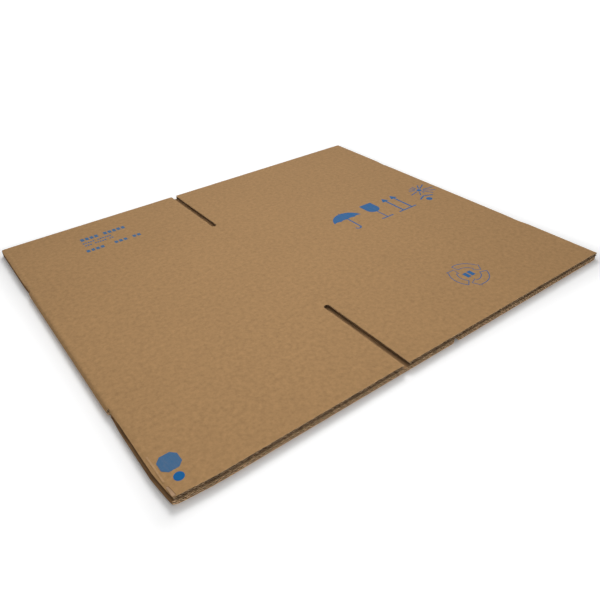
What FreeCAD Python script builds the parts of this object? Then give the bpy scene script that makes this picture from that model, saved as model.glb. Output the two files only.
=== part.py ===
"""A slotted shipping carton of double-wall corrugated board, glued into a tube and folded flat.

Z is up. X runs from fold to fold and Y along the flutes. The origin is under the middle of the carton.
The upper layer holds a short panel at the left and a long one at the right, the lower layer the other
two. A panel carries a flap at each end. One fold joins the layers at the left and one at the right.
"""
import FreeCAD, Part
import math
import os

# Blank, from score to score
short_panel = 352.0
long_panel = 455.0
panel_height = 326.0
flap_length = 177.0

# Slots between the flaps: their width, and how far they stop from the flap's score
slot_width = 10.0
slot_stop = 4.5

# Board, from its outer face to its inner face
outer_liner = 0.4
small_flute = 2.15
middle_liner = 0.3
large_flute = 3.0
inner_liner = 0.35

# Fluted papers
small_pitch = 6.4
large_pitch = 7.85
fluted_paper = 0.3

# Folded state: air between the layers, channel inside a fold, and how far the lower layer has slipped
# towards the near flaps, and its slots towards the left
layer_gap = 0.2
fold_channel_radius = 2.0
lower_slip = 1.2
lower_slot_slip = 5.0

# Flaps cut further in from their fold than the rest: the near upper one at the left, and the lower ones
# at the right
upper_left_inset = 2.5
lower_right_inset = 4.0

# The near left corner was pushed in: how deep, and how far along the near edge and along the side
crushed_depth = 3.5
crushed_width = 60.0
crushed_length = 50.0

# Edges that the slotting knives crushed
side_shoulder_width = 5.5
side_shoulder_drop = 1.2
slot_shoulder_width = 2.0
slot_shoulder_drop = 0.3
notch_length = 4.0
notch_width = 3.5

# Scores: the groove across a flap's root, and the groove between two panels
flap_score_width = 5.0
flap_score_depth = 0.3
panel_score_depth = 0.45

# Glued lap that closes the tube, in the lower layer
lap_width = 38.0
lap_setback = 6.0
lap_taper = 9.0
seam_width = 3.0

board = outer_liner + small_flute + middle_liner + large_flute + inner_liner
stack = 2 * board + layer_gap
depth = panel_height + 2 * flap_length
slot_length = flap_length - slot_stop

# A fold's outer liner runs a quarter turn from its score to the flat face
fold_radius = stack / 2
fold_allowance = (math.pi / 2 - 1) * fold_radius
folded_width = short_panel + long_panel - 2 * fold_allowance
side_inset = slot_width / 2 - fold_allowance

left = -folded_width / 2
right = folded_width / 2
upper_slot_x = left + short_panel - fold_allowance
lower_slot_x = right - short_panel + fold_allowance - lower_slot_slip
back = (depth + lower_slip) / 2


class Layer:
    """One of the two boards, measured inwards from its outer face."""

    def __init__(self, outer_z, inwards, far_y):
        self.outer_z = outer_z
        self.inwards = inwards
        self.far_y = far_y
        self.near_y = far_y - depth

    def point(self, x, y, sunk):
        return FreeCAD.Vector(x, y, self.outer_z + self.inwards * sunk)

    def prism(self, outline, near_y, far_y, holes=()):
        """Solid with an outline of (x, depth in the board), and holes through it, drawn out along Y."""
        wires = []
        for corners in [outline, *holes]:
            points = [self.point(x, near_y, sunk) for x, sunk in corners]
            wires.append(Part.makePolygon(points + points[:1]))
        face = Part.makeFace(wires, "Part::FaceMakerBullseye")
        return face.extrude(FreeCAD.Vector(0, far_y - near_y, 0))


upper = Layer(stack, -1, back)
lower = Layer(0, 1, back - lower_slip)


def flute_cells(x_from, x_to, sunk, height, pitch, every):
    """Three-cornered cells beside one fluted paper, each whole between two places along X."""
    half = pitch / 2
    slope = math.atan2(height, half)
    side = fluted_paper / 2 / math.sin(slope)
    tip = fluted_paper / 2 / math.cos(slope)
    first = math.ceil((x_from - side) / half) + 1
    last = math.floor((x_to + side) / half) - 1
    cells = []
    for step in range(first, last + 1):
        if step % every:
            continue
        middle = step * half
        opens_outwards = step % 2 == 0
        base = sunk if opens_outwards else sunk + height
        apex = sunk + height - tip if opens_outwards else sunk + tip
        cells.append([(middle - half + side, base), (middle + half - side, base), (middle, apex)])
    return cells


def panel_column(layer, x_from, x_to, slot_at_right):
    """A panel with its two flaps, cut square at one side and crushed towards the slot at the other."""
    if slot_at_right:
        outline = [
            (x_from, 0),
            (x_to - slot_shoulder_width, 0),
            (x_to, slot_shoulder_drop),
            (x_to, board),
            (x_from, board),
        ]
        open_from, open_to = x_from, x_to - slot_shoulder_width
    else:
        outline = [
            (x_to, 0),
            (x_from + slot_shoulder_width, 0),
            (x_from, slot_shoulder_drop),
            (x_from, board),
            (x_to, board),
        ]
        open_from, open_to = x_from + slot_shoulder_width, x_to
    # Both rows of cells of the large flute, and of the small flute the row against the outer liner
    large_depth = outer_liner + small_flute + middle_liner
    cells = flute_cells(open_from, open_to, large_depth, large_flute, large_pitch, 1)
    cells += flute_cells(open_from, open_to, outer_liner, small_flute, small_pitch, 2)
    return layer.prism(outline, layer.near_y, layer.far_y, cells)


def flap_side(layer, edge_x, panel_x, near_y):
    """One flap's crushed margin along a fold, between the cut edge and the panel's column."""
    # A margin that is cut narrower has a narrower shoulder
    shoulder = (panel_x - edge_x) * side_shoulder_width / fold_radius
    outline = [
        (edge_x, side_shoulder_drop),
        (edge_x + shoulder, 0),
        (panel_x, 0),
        (panel_x, board),
        (edge_x, board),
    ]
    return layer.prism(outline, near_y, near_y + slot_length)


def fold(apex_x, inwards):
    """Half ring that carries the board from one layer into the other, open along its inside."""
    near_y = upper.near_y + slot_length
    far_y = lower.far_y - slot_length
    centre_x = apex_x + inwards * fold_radius

    def on_ring(radius, side, up):
        return FreeCAD.Vector(centre_x - inwards * radius * side, near_y, fold_radius + radius * up)

    edges = []
    for radius in (fold_radius, fold_channel_radius):
        arc = Part.Arc(on_ring(radius, 0, -1), on_ring(radius, 1, 0), on_ring(radius, 0, 1))
        edges.append(arc.toShape())
    for up in (-1, 1):
        edges.append(Part.makeLine(on_ring(fold_channel_radius, 0, up), on_ring(fold_radius, 0, up)))
    face = Part.Face(Part.Wire(Part.__sortEdges__(edges)))
    return face.extrude(FreeCAD.Vector(0, far_y - near_y, 0))


def panel_joint(layer, x, groove):
    """Crushed strip between two panels, from one slot's round end to the other's."""
    half = slot_width / 2
    outline = [(x - half, slot_shoulder_drop)]
    outline += groove
    outline += [(x + half, slot_shoulder_drop), (x + half, board), (x - half, board)]
    near_y = layer.near_y + slot_length - half
    far_y = layer.far_y - slot_length + half
    strip = layer.prism(outline, near_y, far_y)
    for y in (near_y, far_y):
        strip = strip.cut(Part.makeCylinder(half, stack, FreeCAD.Vector(x, y, 0)))
    return strip


def glued_lap():
    """The tongue of one lower panel, pressed flat and glued inside its neighbour."""
    near_y = lower.near_y + flap_length + lap_setback
    far_y = lower.far_y - flap_length - lap_setback
    x_from = lower_slot_x + seam_width / 2
    x_to = lower_slot_x + lap_width
    sunk = outer_liner + small_flute + middle_liner
    corners = [
        lower.point(x_from, near_y, sunk),
        lower.point(x_to, near_y + lap_taper, sunk),
        lower.point(x_to, far_y - lap_taper, sunk),
        lower.point(x_from, far_y, sunk),
    ]
    face = Part.Face(Part.makePolygon(corners + corners[:1]))
    return face.extrude(FreeCAD.Vector(0, 0, board - sunk))


def flap_score(layer, y):
    """Shallow groove that the creasing wheel left across a flap's root, in the outer face."""
    half = flap_score_width / 2
    corners = [
        layer.point(left + fold_radius, y - half, 0),
        layer.point(left + fold_radius, y, flap_score_depth),
        layer.point(left + fold_radius, y + half, 0),
    ]
    face = Part.Face(Part.makePolygon(corners + corners[:1]))
    return face.extrude(FreeCAD.Vector(folded_width - 2 * fold_radius, 0, 0))


def corner_notch(x_from, y_from):
    """Opening beside a fold's end, where the knife went through both layers."""
    corner = FreeCAD.Vector(x_from, y_from, 0)
    return Part.makeBox(notch_width, notch_length, stack, corner)


def crushed_corner():
    """What both near left flaps have lost where their corner was pushed in."""
    corner = FreeCAD.Vector(left + side_inset, lower.near_y, 0)
    outline = [
        corner,
        corner + FreeCAD.Vector(crushed_width, 0, 0),
        corner + FreeCAD.Vector(2 * crushed_depth, crushed_depth, 0),
        corner + FreeCAD.Vector(crushed_depth, 2 * crushed_depth, 0),
        corner + FreeCAD.Vector(0, crushed_length, 0),
    ]
    face = Part.Face(Part.makePolygon(outline + outline[:1]))
    return face.extrude(FreeCAD.Vector(0, 0, stack))


def carton():
    """The whole carton as one folded and glued sheet."""
    half_slot = slot_width / 2
    half_seam = seam_width / 2
    left_column = left + fold_radius
    right_column = right - fold_radius
    crease = [(upper_slot_x, panel_score_depth)]
    lap_level = outer_liner + small_flute + middle_liner
    seam = [
        (lower_slot_x - half_seam, slot_shoulder_drop),
        (lower_slot_x - half_seam, lap_level),
        (lower_slot_x + half_seam, lap_level),
        (lower_slot_x + half_seam, slot_shoulder_drop),
    ]
    pieces = [
        panel_column(upper, left_column, upper_slot_x - half_slot, True),
        panel_column(upper, upper_slot_x + half_slot, right_column, False),
        panel_column(lower, left_column, lower_slot_x - half_slot, True),
        panel_column(lower, lower_slot_x + half_slot, right_column, False),
        panel_joint(upper, upper_slot_x, crease),
        panel_joint(lower, lower_slot_x, seam),
        fold(left, 1),
        fold(right, -1),
        glued_lap(),
    ]
    left_edge = left + side_inset
    right_edge = right - side_inset
    for layer, near_inset, right_inset in ((upper, upper_left_inset, 0), (lower, 0, lower_right_inset)):
        far_y = layer.far_y - slot_length
        pieces.append(flap_side(layer, left_edge + near_inset, left_column, layer.near_y))
        pieces.append(flap_side(layer, left_edge, left_column, far_y))
        pieces.append(flap_side(layer, right_edge - right_inset, right_column, layer.near_y))
        pieces.append(flap_side(layer, right_edge - right_inset, right_column, far_y))
    body = pieces[0].multiFuse(pieces[1:])

    cuts = [crushed_corner()]
    for layer in (upper, lower):
        cuts.append(flap_score(layer, layer.near_y + flap_length))
        cuts.append(flap_score(layer, layer.far_y - flap_length))
    for x in (left, right - notch_width):
        cuts.append(corner_notch(x, upper.near_y + slot_length - notch_length))
        cuts.append(corner_notch(x, lower.far_y - slot_length))
    return body.cut(cuts).removeSplitter()


os.makedirs("parts", exist_ok=True)
shape = carton()
print("solids", len(shape.Solids), "valid", shape.isValid(), "faces", len(shape.Faces))
print("box", shape.BoundBox)
print("volume cm3", shape.Volume / 1000)
shape.exportStep("parts/carton.step")
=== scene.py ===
"""The looks of a slotted carton of double-wall corrugated board, glued into a tube and folded flat.

Lengths are in millimetres until a mesh is finished, and it is then scaled to metres. The board's five
papers start as flat grids on the unfolded blank, which has two directions: along it, from the glued seam
round the tube to the seam again, and across it, from the near flaps to the far ones. folded() then lays
them where the closed carton has them.
"""
import math

import bmesh
import bpy
from mathutils import Matrix, Vector, noise


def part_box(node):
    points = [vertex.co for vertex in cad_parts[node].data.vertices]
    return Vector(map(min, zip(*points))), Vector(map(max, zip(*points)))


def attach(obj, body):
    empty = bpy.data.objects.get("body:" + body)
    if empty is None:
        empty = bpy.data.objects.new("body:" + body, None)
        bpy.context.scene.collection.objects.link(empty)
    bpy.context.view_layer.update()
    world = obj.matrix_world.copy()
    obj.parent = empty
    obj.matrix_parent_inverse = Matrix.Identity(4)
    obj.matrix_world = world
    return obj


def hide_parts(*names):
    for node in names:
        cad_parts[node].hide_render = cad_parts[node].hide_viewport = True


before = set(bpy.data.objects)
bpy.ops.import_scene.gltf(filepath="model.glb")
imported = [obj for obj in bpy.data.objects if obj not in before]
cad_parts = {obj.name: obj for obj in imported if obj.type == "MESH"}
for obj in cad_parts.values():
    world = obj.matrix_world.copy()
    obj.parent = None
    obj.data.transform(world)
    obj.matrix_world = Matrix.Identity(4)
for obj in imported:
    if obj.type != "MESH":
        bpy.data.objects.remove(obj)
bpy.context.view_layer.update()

MM = 0.001

# Blank, from score to score
short_panel = 352.0
long_panel = 455.0
panel_height = 326.0
flap_length = 177.0

# Slots between the flaps, and the knife's nicks where a slot meets a fold
slot_width = 10.0
slot_stop = 4.5
notch_length = 4.0
notch_width = 3.5

# Board, from its outer face to its inner face
outer_liner = 0.4
small_flute = 2.15
middle_liner = 0.3
large_flute = 3.0
inner_liner = 0.35
small_pitch = 6.4
large_pitch = 7.85
fluted_paper = 0.3
ink_height = 0.05

# Folded state: how far the lower layer has slipped towards the near flaps and its slots towards the left
lower_slip = 1.2
lower_slot_slip = 5.0
fold_channel_radius = 2.0

# Flaps cut further in from their fold than the rest: the near upper one at the left, and the lower ones
# at the right
upper_left_inset = 2.5
lower_right_inset = 4.0

# The near left corner was pushed in: how deep, and how far along the near edge and along the side
crushed_depth = 3.5
crushed_width = 60.0
crushed_length = 50.0
crushed_reach = 40.0

# Glued lap in the lower layer
lap_width = 38.0
lap_setback = 6.0
lap_taper = 9.0
seam_width = 3.0

low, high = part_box("carton")
left = low.x / MM
right = high.x / MM
stack = high.z / MM
board = outer_liner + small_flute + middle_liner + large_flute + inner_liner
fold_radius = stack / 2
quarter_turn = math.pi / 2 * fold_radius
half_slot = slot_width / 2
half_seam = seam_width / 2
nick_reach = notch_width - (fold_radius - quarter_turn)

# Places along the blank, from the seam's middle
left_fold = long_panel - lower_slot_slip
upper_slot = left_fold + short_panel
right_fold = upper_slot + long_panel
blank_end = 2 * (short_panel + long_panel)
folds = (left_fold, right_fold)
lap_edge = blank_end - lap_width

# Places across the blank, from its middle
flap_score = panel_height / 2
slot_end = flap_score + slot_stop
flap_edge = flap_score + flap_length
lap_end = flap_score - lap_setback


def eased(share):
    """0 below 0, 1 above 1, and a smooth rise between."""
    share = min(max(share, 0.0), 1.0)
    return share * share * (3 - 2 * share)


def along_profile(place, stops):
    """Height of a profile of (place, height) stops, with straight runs between them."""
    if place <= stops[0][0]:
        return stops[0][1]
    for (start, start_height), (end, end_height) in zip(stops, stops[1:]):
        if place <= end:
            return start_height + (end_height - start_height) * (place - start) / (end - start)
    return stops[-1][1]


# How far the outer face is pressed in: beside a fold's cut edge, beside a slot, at the crease between two
# panels and at a flap's score. Each is (distance, depth).
side_margin = ((0, 1.2), (2.5, 0.6), (5.5, 0.08), (8, 0.2), (10.5, 0.3), (12, 0.12), (18, 0))
slot_margin = ((0, 0.4), (1, 0.2), (2.5, 0.08), (6, 0))
crease_margin = ((0, 0.4), (2, 0.3), (6, 0.1), (10, 0))
score_margin = ((0, 0.22), (3, 0.1), (7, 0))
seam_margin = ((half_seam, 0.5), (3, 0.3), (6, 0))

# How the fluted papers give way where a fold, or the glued lap, presses the board
fold_pressed_to = fold_radius - fold_channel_radius
fold_release = 18.0
lap_level = outer_liner + small_flute + middle_liner
lap_release = 4.0
flap_release = 40.0


def layer_of(along):
    """The nearer fold's side, and how far along the blank a place is above that fold's score."""
    if along < upper_slot:
        return -1, along - left_fold
    return 1, right_fold - along


def pressed_in(along, across):
    """How far the outer face is pressed in at a place of the blank, and how far the inner face."""
    reach = abs(layer_of(along)[1])
    past_slot_end = abs(across) - slot_end
    in_flap = eased(past_slot_end / 12 + 0.2)
    outer = in_flap * along_profile(reach - half_slot, side_margin)
    outer += along_profile(abs(abs(across) - flap_score), score_margin)
    for slot in (0, upper_slot, blank_end):
        from_slot = abs(along - slot)
        if from_slot < 12:
            outer += in_flap * along_profile(from_slot - half_slot, slot_margin)
            if slot == upper_slot:
                outer += (1 - in_flap) * along_profile(from_slot, crease_margin)
            else:
                outer += (1 - in_flap) * along_profile(from_slot, seam_margin)
    inner = (1 - in_flap) * (board - fold_pressed_to) * (1 - eased(reach / fold_release))
    # The lap lies in the inner half of the board, and the panel it is glued to gives way to it
    if along < half_seam:
        outer = lap_level * eased((half_seam - along) / seam_width)
    over_lap = eased((along - lap_edge) / lap_release + 1) * eased((lap_end - abs(across)) / lap_release + 1)
    inner += (board - lap_level + fluted_paper) * over_lap
    return outer, inner


def pushed_in(x, y):
    """Moves a place near the crushed corner inwards, most of all at its edges."""
    from_side = x - (left + half_slot + fold_radius - quarter_turn)
    from_end = y + flap_edge + lower_slip / 2
    if from_side > crushed_width or from_end > crushed_length:
        return x, y
    tip = 1.5 * crushed_depth
    end_depth = along_profile(from_side, ((0, tip), (2 * crushed_depth, crushed_depth), (crushed_width, 0)))
    side_depth = along_profile(from_end, ((0, tip), (2 * crushed_depth, crushed_depth), (crushed_length, 0)))
    x += side_depth * min(max(1 - from_side / crushed_reach, 0), 1)
    y += end_depth * min(max(1 - from_end / crushed_reach, 0), 1)
    return x, y


def folded(along, across, sunk):
    """Where a point of the blank lies in the closed carton, with its depth under the board's outer face."""
    side, above = layer_of(along)
    reach = abs(above)
    outer, inner = pressed_in(along, across)
    sunk = ink_height + outer + sunk * (1 - (ink_height + outer + inner) / board)

    flap_share = eased((abs(across) - slot_end) / flap_release)
    inwards = reach + fold_radius - quarter_turn
    if reach < quarter_turn:
        turn = reach / fold_radius
        bent = fold_radius - (fold_radius - sunk) * math.cos(turn)
        inwards = bent + (inwards - bent) * flap_share
        bent = fold_radius - (fold_radius - sunk) * math.sin(turn)
        sunk = bent + (sunk - bent) * flap_share
    inset = 0
    if side > 0 and above < 0:
        inset = lower_right_inset
    elif side < 0 and above > 0 and across < 0:
        inset = upper_left_inset
    inwards += inset * flap_share * (1 - eased((reach - half_slot) / 60))
    x = left + inwards if side < 0 else right - inwards
    y = across + lower_slip / 2 * min(max(above / quarter_turn, -1), 1)
    x, y = pushed_in(x, y)
    z = stack - sunk if above > 0 else sunk
    return Vector((x, y, z))


def lines_between(start, end, spacing):
    count = max(1, round((end - start) / spacing))
    return [start + (end - start) * step / count for step in range(count)]


def thinned(lines, keep, gap):
    """The lines in order, without any that is nearer than gap to one that has to stay."""
    free = [line for line in lines if min(abs(line - other) for other in keep) > gap]
    return sorted(set(free) | set(keep))


def rounded_slot_end(along, across):
    """A slot's inner end is close to a half circle."""
    for slot in (0, upper_slot, blank_end):
        off = abs(along - slot)
        if off <= half_slot + 0.01 and abs(abs(across) - slot_end) < 0.01:
            back = half_slot - math.sqrt(max(half_slot ** 2 - off ** 2, 0))
            return across + math.copysign(min(back, notch_length - 0.6), across)
    return across


def cut_away(along, across):
    """Whether a place of the grid lies in a slot, in a nick, beside the lap or in the seam."""
    far = abs(across)
    for slot in (0, upper_slot, blank_end, *folds):
        if far > slot_end and abs(along - slot) < half_slot:
            return True
    for fold in folds:
        if slot_end < far < slot_end + notch_length and abs(along - fold) < nick_reach:
            return True
    if along < half_seam and far > lap_end:
        return True
    return along > blank_end - half_seam


# Lines of the grids that a slot, nick, fold or lap needs, and a few more that let the papers bend
slot_lines = [0, 1.8, 3.2, 4.3, half_slot]
needed_lines = [-lap_width, -half_seam, half_seam, lap_edge, lap_edge - lap_release, blank_end - half_seam]
needed_lines += [half_slot, blank_end - half_slot]
needed_lines += [upper_slot + sign * line for line in slot_lines for sign in (-1, 1)]
for fold in folds:
    needed_lines += [fold + sign * line for line in (0, half_slot, nick_reach) for sign in (-1, 1)]
needed_lines = sorted(set(needed_lines))

edge_rows = (0, 75, lap_end - lap_taper, lap_end, flap_score, slot_end, slot_end + notch_length)
edge_rows += (178, 190, 210, 250, 300, flap_edge - 4, flap_edge)
rows = sorted({sign * row for row in edge_rows for sign in (-1, 1)})


def ragged(along, across, seed, reach):
    """Small uneven shift of a cut edge, as (along, across)."""
    here = Vector((along / reach, across / reach, seed))
    return noise.noise(here), noise.noise(here + Vector((31.7, 12.3, 5.1)))


def paper(name, material, lines, rows, depth_at, thickness, unevenness):
    """One paper of the board, cut on the blank and then folded.

    depth_at gives its outer side's depth. unevenness is how far its cut ends stray along the blank, the
    length of one such stray, and how far they stray inwards.
    """
    bm = bmesh.new()
    columns = len(lines) - 1
    ranks = len(rows) - 1
    bmesh.ops.create_grid(bm, x_segments=columns, y_segments=ranks, size=1)
    for vert in bm.verts:
        column = round((vert.co.x + 1) / 2 * columns)
        rank = round((vert.co.y + 1) / 2 * ranks)
        vert.co = (lines[column], rows[rank], 0)
    waste = [face for face in bm.faces if cut_away(*face.calc_center_median().xy)]
    bmesh.ops.delete(bm, geom=waste, context="FACES")
    for vert in bm.verts:
        along, across = vert.co.xy
        sunk = depth_at(along, across)
        near_cut = eased((abs(across) - flap_edge) / 12 + 1)
        if near_cut:
            shift_along, shift_across = ragged(along, across, len(name), unevenness[1])
            along += unevenness[0] * near_cut * shift_along
            across -= abs(unevenness[2] * near_cut * shift_across) * math.copysign(1, across)
        across = rounded_slot_end(along, across)
        if along < -half_seam and abs(abs(across) - lap_end) < 0.01:
            across -= math.copysign(lap_taper * -along / lap_width, across)
        vert.co = folded(along, across, sunk)
    bm.normal_update()
    bmesh.ops.solidify(bm, geom=bm.faces[:], thickness=thickness)
    # The cut faces at the ends of the flutes and beside the slots have the second material
    for face in bm.faces:
        middle = face.calc_center_median()
        at_end = abs(face.normal.y) > 0.6
        in_slot = abs(middle.y) > slot_end and abs(middle.x) < right - 2 * board
        beside_slot = in_slot and abs(face.normal.x) > 0.8
        face.material_index = 1 if at_end or beside_slot else 0
    piece = finished(bm, name, material)
    piece.data.materials.append(cut_edges_paper_and_painted_light)
    return piece


def finished(bm, name, material):
    """A named piece from a bmesh in millimetres, riding on the carton."""
    bmesh.ops.scale(bm, vec=(MM, MM, MM), verts=bm.verts)
    sharp_angle = math.radians(35)
    for face in bm.faces:
        face.smooth = True
    for edge in bm.edges:
        edge.smooth = edge.calc_face_angle(0) < sharp_angle
    mesh = bpy.data.meshes.new(name)
    bm.to_mesh(mesh)
    bm.free()
    piece = bpy.data.objects.new(name, mesh)
    bpy.context.scene.collection.objects.link(piece)
    mesh.materials.append(material)
    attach(piece, "root")
    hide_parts("carton")
    return piece


class Value:
    """A shader socket's value, for plain expressions."""

    def __init__(self, finish, socket):
        self.finish = finish
        self.socket = socket

    def worked(self, operation, first, second):
        sockets = {0: first, 1: second}
        return self.finish.node("ShaderNodeMath", {"operation": operation}, sockets)[0]

    def __add__(self, other):
        return self.worked("ADD", self, other)

    def __radd__(self, other):
        return self.worked("ADD", other, self)

    def __sub__(self, other):
        return self.worked("SUBTRACT", self, other)

    def __rsub__(self, other):
        return self.worked("SUBTRACT", other, self)

    def __mul__(self, other):
        return self.worked("MULTIPLY", self, other)

    def __rmul__(self, other):
        return self.worked("MULTIPLY", other, self)

    def __gt__(self, other):
        return self.worked("GREATER_THAN", self, other)

    def __lt__(self, other):
        return self.worked("LESS_THAN", self, other)


class Finish:
    """The nodes of a material or of the surround."""

    def __init__(self, owner):
        self.owner = owner
        owner.use_nodes = True
        self.tree = owner.node_tree
        self.tree.nodes.clear()

    def node(self, kind, settings, sockets):
        """Adds a node, sets it, fills its sockets, and gives its outputs that are in use."""
        made = self.tree.nodes.new(kind)
        for name, value in settings.items():
            if name == "stops":
                self.set_stops(made.color_ramp, value)
            else:
                setattr(made, name, value)
        for key, value in sockets.items():
            socket = made.inputs[key] if isinstance(key, int) else self.open_socket(made, key)
            if isinstance(value, Value):
                self.tree.links.new(value.socket, socket)
            else:
                socket.default_value = value
        return [Value(self, output) for output in made.outputs if output.enabled]

    @staticmethod
    def open_socket(made, name):
        return next(socket for socket in made.inputs if socket.name == name and socket.enabled)

    @staticmethod
    def set_stops(ramp, stops):
        while len(ramp.elements) < len(stops):
            ramp.elements.new(1.0)
        for element, (place, colour) in zip(ramp.elements, stops):
            element.position = place
            element.color = (*colour, 1)

    def place(self):
        """Place on the carton, in metres."""
        coordinate = self.tree.nodes.new("ShaderNodeTexCoord")
        return Value(self, coordinate.outputs["Object"])

    def cloud(self, place, scale, detail=2.0, rough=0.5):
        """Noise from 0 to 1."""
        sockets = {"Vector": place, "Scale": scale, "Detail": detail, "Roughness": rough}
        return self.node("ShaderNodeTexNoise", {}, sockets)[0]

    def stretched(self, place, scale):
        return self.node("ShaderNodeMapping", {}, {"Vector": place, "Scale": scale})[0]

    def mixed(self, share, first, second, blend="MIX"):
        settings = {"data_type": "RGBA", "blend_type": blend}
        return self.node("ShaderNodeMix", settings, {"Factor": share, "A": first, "B": second})[0]

    def grey(self, value):
        """The same value in all three channels."""
        sockets = {"Red": value, "Green": value, "Blue": value}
        return self.node("ShaderNodeCombineColor", {}, sockets)[0]

    def shaded(self, colour, roughness, height, lift, shine):
        """Ends the material in one shader with a bump."""
        bump_sockets = {"Strength": 1.0, "Distance": lift, "Height": height}
        normal = self.node("ShaderNodeBump", {}, bump_sockets)[0]
        sockets = {"Base Color": colour, "Roughness": roughness, "Normal": normal}
        sockets["Specular IOR Level"] = shine
        shader = self.node("ShaderNodeBsdfPrincipled", {}, sockets)[0]
        self.node("ShaderNodeOutputMaterial", {}, {"Surface": shader})
        return self.owner


def linear(red, green, blue):
    """Scene colour of an 8-bit colour."""
    channels = []
    for channel in (red, green, blue):
        share = channel / 255
        channels.append(share / 12.92 if share <= 0.04045 else ((share + 0.055) / 1.055) ** 2.4)
    return (*channels, 1)


def kraft(finish, place, colour):
    """Kraft paper's colour and height: cloudy, mottled, with short fibres along the paper's run."""
    clouds = finish.cloud(place, 7.0, 3.0)
    mottle = finish.cloud(place, 150.0, 3.0, 0.7)
    fibres = finish.cloud(finish.stretched(place, (420, 900, 800)), 1.0, 2.0)
    shade = 0.57 + 0.08 * clouds + 0.64 * mottle + 0.14 * fibres
    flecks = finish.cloud(finish.stretched(place, (500, 900, 900)), 1.0, 1.0) > 0.72
    toned = finish.mixed(1.0, colour, finish.grey(shade), "MULTIPLY")
    dark_fibre = (colour[0] * 0.78, colour[1] * 0.74, colour[2] * 0.7, 1)
    return finish.mixed(flecks * 0.5, toned, dark_fibre), mottle * 0.5 + fibres * 0.5


def kraft_material(name, colour, roughness=0.86):
    finish = Finish(bpy.data.materials.new(name))
    toned, height = kraft(finish, finish.place(), colour)
    return finish.shaded(toned, roughness + 0.06 * height, height, 0.00006, 0.2)


def cut_material(name, colour, contrast, lower_layer_painted_light):
    """Paper seen at the cut ends of the flutes.

    It is uneven from cell to cell, and paler in the lower layer, which is painted light.
    """
    finish = Finish(bpy.data.materials.new(name))
    place = finish.place()
    toned, height = kraft(finish, place, colour)
    uneven = finish.cloud(finish.stretched(place, (190, 25, 500)), 1.0, 2.0, 0.7)
    upright = finish.node("ShaderNodeSeparateXYZ", {}, {"Vector": place})[2]
    in_lower_layer = upright < (board + 0.1) * MM
    spread = {"Value": uneven, "From Min": 0.32, "From Max": 0.68}
    spread |= {"To Min": 1 - contrast, "To Max": 1 + contrast}
    # Painted light: the lower layer's paper is made paler
    shade = finish.node("ShaderNodeMapRange", {}, spread)[0] + lower_layer_painted_light * in_lower_layer
    varied = finish.mixed(1.0, toned, finish.grey(shade), "MULTIPLY")
    return finish.shaded(varied, 0.93, height, 0.00006, 0.2)


def ink_material(name, colour, cover):
    """Ink that sinks into the paper, thinner on its raised fibres."""
    finish = Finish(bpy.data.materials.new(name))
    place = finish.place()
    toned, height = kraft(finish, place, liner_colour)
    streaks = finish.cloud(finish.stretched(place, (420, 60, 60)), 1.0, 2.0)
    spots = finish.cloud(place, 700.0, 2.0)
    share = cover - 0.16 * streaks - 0.14 * spots
    inked = finish.mixed(share, toned, colour)
    return finish.shaded(inked, 0.7 + 0.1 * height, height, 0.00004, 0.12)


liner_colour = linear(169, 132, 89)
outer_kraft = kraft_material("outer_kraft", liner_colour)
# Middle and inner liners: their dark colour is painted shade on the slot floors, and their paler lower layer
# is painted light on its ledge
inner_liners_painted_shade_and_light = cut_material("inner_liners_painted_shade_and_light", linear(132, 102, 70), 0.3, 0.3)
# Cut ends and slot sides: paler paper with a painted highlight, paler still in the lower layer as painted
# light
cut_edges_paper_and_painted_light = cut_material("cut_edges_paper_and_painted_light", linear(224, 192, 154), 0.65, 1.3)
# Fluted paper: its dark colour is painted shade inside the flute cells, and its paler lower layer is painted
# light
fluting_painted_shade_and_light = cut_material("fluting_painted_shade_and_light", linear(128, 96, 62), 0.85, 1.1)
scuffed_kraft = kraft_material("scuffed_kraft", linear(176, 143, 112), 0.92)
# Painted shadow under the lifted flake's edge
flake_painted_shadow_kraft = kraft_material("flake_painted_shadow_kraft", linear(118, 88, 62), 0.92)
pale_margin_kraft = kraft_material("pale_margin_kraft", linear(178, 142, 102), 0.92)
blue_ink = ink_material("blue_ink", linear(22, 98, 154), 1.08)
pale_ink = ink_material("pale_ink", linear(40, 103, 148), 1.04)
deep_ink = ink_material("deep_ink", linear(20, 96, 154), 1.2)


def liner_lines():
    """Lines across a flat paper: close beside folds, slots and the seam, wide elsewhere."""
    steps = (1.0, 2.5, 4, 5, 6, 7.5, 9, 10.5, 12, 14.5, 18, 24, 34, 50)
    lines = []
    for place in (0, *folds, upper_slot, blank_end):
        lines += [place + sign * step for step in steps for sign in (-1, 1)]
    lines += lines_between(-lap_width, blank_end, 24)
    lines = [line for line in lines if -lap_width < line < blank_end - half_seam]
    return thinned(lines, needed_lines, 0.4)


def flat_depth(depth):
    return lambda along, across: depth


def flute_depth(top, height, pitch, seed):
    """Depth of a fluted paper's outer side, uneven from flute to flute at the cut edges."""
    reach = (height - fluted_paper) / 2

    def depth(along, across):
        crushed = eased((abs(across) - flap_edge) / 12 + 1)
        wave = math.cos(2 * math.pi * along / pitch)
        sway = noise.noise(Vector((along / 9, across / 300, seed))) * 0.35 * crushed
        return top + reach * (1 - wave * (1 - abs(sway))) + sway * reach * 0.5

    return depth


def flute_lines(pitch, samples):
    """Lines across a fluted paper, with the same number of them to each flute."""
    step = pitch / samples
    first = math.ceil(-lap_width / step)
    last = math.floor((blank_end - half_seam) / step)
    lines = [step * count for count in range(first, last + 1)]
    return thinned(lines, needed_lines, step * 0.3)


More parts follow.
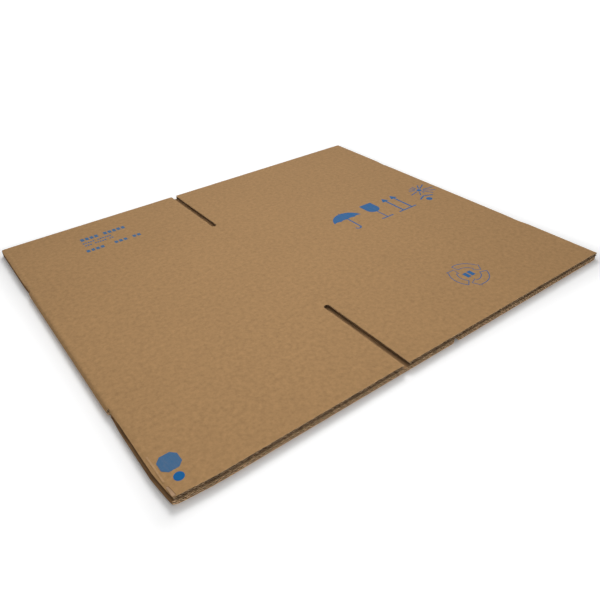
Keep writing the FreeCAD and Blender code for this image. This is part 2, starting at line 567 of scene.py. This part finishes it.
def board_papers():
    """The five papers, from the outer face to the inner one."""
    lines = liner_lines()
    cut_rows = [sign * row for row in lines_between(slot_end + 6, flap_edge - 5, 5) for sign in (-1, 1)]
    fine_rows = thinned(cut_rows, rows, 1.5)
    paper("outer_liner", outer_kraft, lines, fine_rows, flat_depth(0), outer_liner, (0.5, 8, 0.3))
    small_top = outer_liner
    small = flute_depth(small_top, small_flute, small_pitch, 1.5)
    small_lines = flute_lines(small_pitch, 6)
    paper("small_flutes", fluting_painted_shade_and_light, small_lines, rows, small, fluted_paper, (0.9, 11, 0.4))
    middle_top = small_top + small_flute
    paper("middle_liner", inner_liners_painted_shade_and_light, lines, rows, flat_depth(middle_top), middle_liner, (0.3, 9, 0.3))
    large_top = middle_top + middle_liner
    large = flute_depth(large_top, large_flute, large_pitch, 7.5)
    large_lines = flute_lines(large_pitch, 8)
    paper("large_flutes", fluting_painted_shade_and_light, large_lines, rows, large, fluted_paper, (0.9, 13, 0.4))
    inner_top = large_top + large_flute
    paper("inner_liner", inner_liners_painted_shade_and_light, lines, rows, flat_depth(inner_top), inner_liner, (0.3, 10, 0.3))


# Print on the upper face
ink_thickness = 0.1


class Print:
    """Flat shapes of one mark, joined into one piece."""

    def __init__(self):
        self.bm = bmesh.new()

    def area(self, corners):
        """A filled outline, listed counterclockwise."""
        self.bm.faces.new([self.bm.verts.new((x, y, stack)) for x, y in corners])

    def disc(self, x, y, radius, segments=40):
        bmesh.ops.create_circle(
            self.bm, cap_ends=True, segments=segments, radius=radius, matrix=Matrix.Translation((x, y, stack))
        )

    def stroke(self, path, width):
        """A line of even width along a path of points."""
        grid = bmesh.ops.create_grid(self.bm, x_segments=len(path) - 1, y_segments=1, size=1)
        points = [Vector(point) for point in path]
        for vert in grid["verts"]:
            index = round((vert.co.x + 1) / 2 * (len(path) - 1))
            before = points[max(index - 1, 0)]
            after = points[min(index + 1, len(points) - 1)]
            run = (after - before).normalized()
            side = Vector((-run.y, run.x)) * width / 2 * vert.co.y
            vert.co = (*(points[index] + side), stack)

    def bar(self, x_from, y_from, x_to, y_to):
        self.area([(x_from, y_from), (x_to, y_from), (x_to, y_to), (x_from, y_to)])

    def made(self, name, material, slot="ink"):
        self.bm.normal_update()
        for face in self.bm.faces:
            if face.normal.z < 0:
                face.normal_flip()
        bmesh.ops.solidify(self.bm, geom=self.bm.faces[:], thickness=ink_thickness)
        return finished(self.bm, name, material)


def arc(x, y, radius, start, end, count):
    """Points on a circle between two angles in degrees."""
    points = []
    for step in range(count + 1):
        turn = math.radians(start + (end - start) * step / count)
        points.append((x + radius * math.cos(turn), y + radius * math.sin(turn)))
    return points


# Places of the marks on the upper face
mark_foot = -17.6
umbrella_x = 158.4
umbrella_hem = 24.4
glass_x = 223.6
arrow_xs = (266.3, 288.9)
sun_x = 354.1
sun_y = 27.9


def umbrella():
    mark = Print()
    radius = 33.2
    middle_y = 50.9 - radius
    start = math.degrees(math.asin((umbrella_hem - middle_y) / radius))
    outline = arc(umbrella_x, middle_y, radius, start, 180 - start, 36)
    half_width = radius * math.cos(math.radians(start))
    scallops = 4
    scallop_rise = 2.4
    span = 2 * half_width / scallops
    for step in range(scallops):
        centre = umbrella_x - half_width + span * (step + 0.5)
        for share in (-0.7, -0.35, 0, 0.35, 0.7):
            outline.append((centre + span / 2 * share, umbrella_hem + scallop_rise * (1 - share ** 2)))
        if step < scallops - 1:
            outline.append((centre + span / 2, umbrella_hem))
    mark.area(outline)
    mark.bar(umbrella_x - 0.9, 51.2, umbrella_x + 0.9, 54)
    hook_radius = 5.6
    hook_y = mark_foot + hook_radius + 1.3
    shaft = [(umbrella_x, umbrella_hem - 0.4), (umbrella_x, hook_y)]
    mark.stroke(shaft + arc(umbrella_x - hook_radius, hook_y, hook_radius, 0, -180, 14)[1:], 2.9)
    return mark.made("umbrella_mark", blue_ink)


def glass():
    mark = Print()
    half_width = 14.6
    rim = 50.8
    turn_y = 28.2
    bowl = arc(glass_x, turn_y, half_width, 180, 360, 24)
    mark.area(bowl + [(glass_x + half_width, rim), (glass_x - half_width, rim)])
    mark.bar(glass_x - 1.2, mark_foot + 3.0, glass_x + 1.2, turn_y - half_width - 0.3)
    mark.bar(glass_x - 14.4, mark_foot, glass_x + 14.4, mark_foot + 2.8)
    return mark.made("glass_mark", blue_ink)


def upright_arrows():
    mark = Print()
    for x in arrow_xs:
        mark.area([(x - 8.2, 34), (x + 8.2, 34), (x, 48)])
        mark.bar(x - 1.8, mark_foot + 3.3, x + 1.8, 33.8)
    mark.bar(arrow_xs[0] - 11.2, mark_foot, arrow_xs[1] + 11.2, mark_foot + 3.1)
    return mark.made("upright_arrows_mark", blue_ink)


def shaded_goods():
    """A sun, a roof and the goods under it."""
    mark = Print()
    mark.disc(sun_x, sun_y, 5.3)
    # Each ray's angle, how far it reaches from the middle, and its width
    rays = ((-166, 30, 2.4), (-128, 24, 2.2), (30, 30, 2.4), (52, 24, 2.4), (90, 21, 1.8), (112, 20, 1.8))
    rays += ((134, 21, 1.8), (156, 22, 1.8), (-12, 34, 2.4), (-36, 34, 2.4), (-62, 30, 2.2), (-92, 15, 2.0))
    for angle, reach, width in rays:
        turn = Vector((math.cos(math.radians(angle)), math.sin(math.radians(angle))))
        centre = Vector((sun_x, sun_y))
        mark.stroke([centre + turn * 8.5, centre + turn * reach], width)
    mark.stroke([(325, -4.6), (342, 3.4), (360, -4.6)], 3.6)
    mark.disc(341, -13.2, 6.4, 24)
    return mark.made("shaded_goods_mark", blue_ink)


def recycling_loop():
    """Three bent arrows in thin outline, round a plain parcel."""
    mark = Print()
    x, y = 181.6, -247.5
    line = 1.35
    for start in (100, 220, 340):
        outer = arc(x, y, 32, start, start - 82, 14)
        inner = arc(x, y, 19.5, start, start - 82, 10)
        mark.stroke(outer, line)
        mark.stroke(inner, line)
        mark.stroke([inner[0], outer[0]], line)
        head = arc(x, y, 25.5, start - 108, start - 108, 1)[0]
        wings = [arc(x, y, radius, start - 84, start - 84, 1)[0] for radius in (35.5, 15.5)]
        mark.stroke([outer[-1], wings[0], head, wings[1], inner[-1]], line)
    mark.bar(x - 9, y - 6.5, x - 1.2, y + 6.5)
    mark.bar(x + 1.2, y - 6.5, x + 9, y + 6.5)
    return mark.made("recycling_loop_mark", blue_ink)


def plain_rows():
    """Rows of plain blocks where a carton has its order data."""
    mark = Print()
    # Each row's left end and foot, its blocks' height and width, the gap, and 0 for a block left out
    rows_of_blocks = (
        (-273, 274, 10.5, 6.4, 2.4, (1, 1, 1, 1, 0, 1, 1, 1, 1, 1)),
        (-274, 262, 4.4, 3.0, 1.6, (1, 1, 1, 1, 1, 0, 1, 1, 1, 1, 1, 1)),
        (-273, 252, 4.4, 3.0, 1.6, (1, 1, 1, 0, 1, 1, 1, 1, 1, 0, 1, 1)),
        (-278, 228, 9.0, 6.2, 2.6, (1, 1, 1, 1, 0, 0, 1, 1, 1, 0, 1, 1)),
    )
    for x_from, y_from, height, width, gap, blocks in rows_of_blocks:
        for index, filled in enumerate(blocks):
            x = x_from + index * (width + gap)
            if filled:
                mark.bar(x, y_from, x + width, y_from + height)
    return mark.made("plain_rows_mark", pale_ink)


def colour_patches():
    """The printer's patches in the near left corner."""
    patch = Print()
    x, y = -373.8, -290.5
    half = 12.9
    short = half - 6.4
    corners = [(-half, -short), (-short, -half), (short, -half), (half, -short)]
    corners += [(half, short), (short, half), (-short, half), (-half, short)]
    patch.area([(x + right_of, y + above) for right_of, above in corners])
    patch.made("square_patch", pale_ink)
    dot = Print()
    dot.disc(x, -314.8, 6.4)
    dot.made("round_patch", deep_ink)


def scuffed_corner():
    """A lifted flake of liner at the near end of the left margin, a dark line beside it that is the painted
    shadow of its lifted edge, and a paler strip along the margin.
    """
    bm = bmesh.new()
    bmesh.ops.create_grid(bm, x_segments=6, y_segments=8, size=0.5)
    for vert in bm.verts:
        across = vert.co.y
        x = -390.6 + (3.4 - 1.2 * across) * vert.co.x + 0.8 * (0.5 - across)
        y = -327 + 15 * across
        vert.co = (x, y, stack - 0.12)
    bm.normal_update()
    bmesh.ops.solidify(bm, geom=bm.faces[:], thickness=0.2)
    finished(bm, "scuffed_corner", scuffed_kraft)
    # A dark line beside the flake: the painted shadow of its lifted edge
    flake_shadow_line = Print()
    flake_shadow_line.stroke([(-391.2, -319.3), (-389.4, -319.2), (-388.4, -326), (-387.4, -334)], 0.55)
    flake_shadow_line.made("flake_edge_painted_shadow", flake_painted_shadow_kraft, "board")
    # A paler strip along the left margin
    pale_margin = Print()
    pale_margin.stroke([(-390.6, -312), (-390.8, -290), (-391, -268)], 2.2)
    pale_margin.made("pale_margin_strip", pale_margin_kraft, "board")


def camera():
    """The photograph's standpoint, over the near left corner."""
    stand = Vector((-0.4984, -0.7313, 0.5286))
    aim = Vector((-0.06156, -0.11579, -0.0013))
    roll = math.radians(-2.403)
    forward = (aim - stand).normalized()
    level = forward.cross(Vector((0, 0, 1))).normalized()
    across_view = math.cos(roll) * level + math.sin(roll) * level.cross(forward)
    up_view = across_view.cross(forward)
    data = bpy.data.cameras.new("camera")
    data.sensor_width = 36
    data.lens = 34.948
    eye = bpy.data.objects.new("camera", data)
    bpy.context.scene.collection.objects.link(eye)
    axes = Matrix((across_view, up_view, -forward)).transposed()
    eye.matrix_world = Matrix.Translation(stand) @ axes.to_4x4()
    bpy.context.scene.camera = eye


def seen_directly(finish):
    """1 for rays from the camera and for those that it sees in a mirror or through glass."""
    path = finish.tree.nodes.new("ShaderNodeLightPath")
    seen = Value(finish, path.outputs["Is Camera Ray"])
    for ray in ("Is Glossy Ray", "Is Transmission Ray"):
        seen = seen.worked("MAXIMUM", seen, Value(finish, path.outputs[ray]))
    return seen


# How far from the carton the floor's glow for the camera rises to full, in metres; nearer the carton it is
# dimmer, which paints shade round it
painted_shade_reach = 0.15


def floor():
    """A large white floor that keeps the carton's shadow, and whose glow for the camera fades towards the
    carton, which is painted shade round it.
    """
    bm = bmesh.new()
    bmesh.ops.create_grid(bm, x_segments=1, y_segments=1, size=6)
    mesh = bpy.data.meshes.new("floor")
    bm.to_mesh(mesh)
    bm.free()
    plane = bpy.data.objects.new("floor", mesh)
    bpy.context.scene.collection.objects.link(plane)
    finish = Finish(bpy.data.materials.new("floor_white"))
    diffuse = finish.node("ShaderNodeBsdfDiffuse", {}, {"Color": (0.97, 0.97, 0.97, 1)})[0]
    # Away from the carton the floor glows the background's plain white for the camera; nearer the carton the
    # glow fades, which is painted shade
    off_middle = finish.node("ShaderNodeVectorMath", {"operation": "ABSOLUTE"}, {0: finish.place()})[0]
    half_size = (high.x, high.y, 0)
    past = finish.node("ShaderNodeVectorMath", {"operation": "SUBTRACT"}, {0: off_middle, 1: half_size})[0]
    outside = finish.node("ShaderNodeVectorMath", {"operation": "MAXIMUM"}, {0: past, 1: (0, 0, 0)})[0]
    from_carton = finish.node("ShaderNodeVectorMath", {"operation": "LENGTH"}, {0: outside})[0]
    reach = {"Value": from_carton, "From Min": 0.0, "From Max": painted_shade_reach, "To Min": 0.05, "To Max": 1.0}
    painted_shade_glow_share = finish.node("ShaderNodeMapRange", {}, reach)[0]
    glow_sockets = {"Color": (1, 1, 1, 1), "Strength": seen_directly(finish) * painted_shade_glow_share}
    glow = finish.node("ShaderNodeEmission", {}, glow_sockets)[0]
    surface = finish.node("ShaderNodeAddShader", {}, {0: diffuse, 1: glow})[0]
    finish.node("ShaderNodeOutputMaterial", {}, {"Surface": surface})
    mesh.materials.append(finish.owner)


# Share of the plain light level that comes from all round
surround_light = 0.26

# Lamps: where they stand in metres, their size and their power in watts
back_lamp = ((0.85, 1.1, 2.3), 2.2, 26)
top_lamp = ((-0.3, -0.4, 1.1), 1.0, 1.8)
spot_stand = (1.2, 1.7, 2.0)
spot_aim = (-0.22, -0.26, 0)
spot_size = 0.6
spot_power = 265
spot_spread = math.radians(28)


def studio_light():
    """A white surround, a large lamp behind the carton, a small one above it, and a soft spot on it."""
    world = bpy.data.worlds.new("surround")
    bpy.context.scene.world = world
    finish = Finish(world)
    strength = surround_light + (1 - surround_light) * seen_directly(finish)
    background = finish.node("ShaderNodeBackground", {}, {"Color": (1, 1, 1, 1), "Strength": strength})[0]
    finish.node("ShaderNodeOutputWorld", {}, {"Surface": background})
    lamp("back_lamp", *back_lamp)
    lamp("top_lamp", *top_lamp)
    spot = bpy.data.lights.new("spot_lamp", "SPOT")
    spot.energy = spot_power
    spot.shadow_soft_size = spot_size
    spot.spot_size = spot_spread
    spot.spot_blend = 1.0
    aimed("spot_lamp", spot, spot_stand, spot_aim)


def lamp(name, stand, size, power):
    """A square soft lamp that points at the carton's middle."""
    data = bpy.data.lights.new(name, "AREA")
    data.shape = "SQUARE"
    data.size = size
    data.energy = power
    aimed(name, data, stand, (0, 0, 0))


def aimed(name, data, stand, aim):
    """Puts a lamp at its stand, facing its aim."""
    holder = bpy.data.objects.new(name, data)
    bpy.context.scene.collection.objects.link(holder)
    holder.location = stand
    holder.rotation_mode = "QUATERNION"
    holder.rotation_quaternion = (Vector(aim) - Vector(stand)).to_track_quat("-Z", "Y")


board_papers()
umbrella()
glass()
upright_arrows()
shaded_goods()
recycling_loop()
plain_rows()
colour_patches()
scuffed_corner()
camera()
floor()
studio_light()
bpy.context.scene.view_settings.view_transform = "Standard"
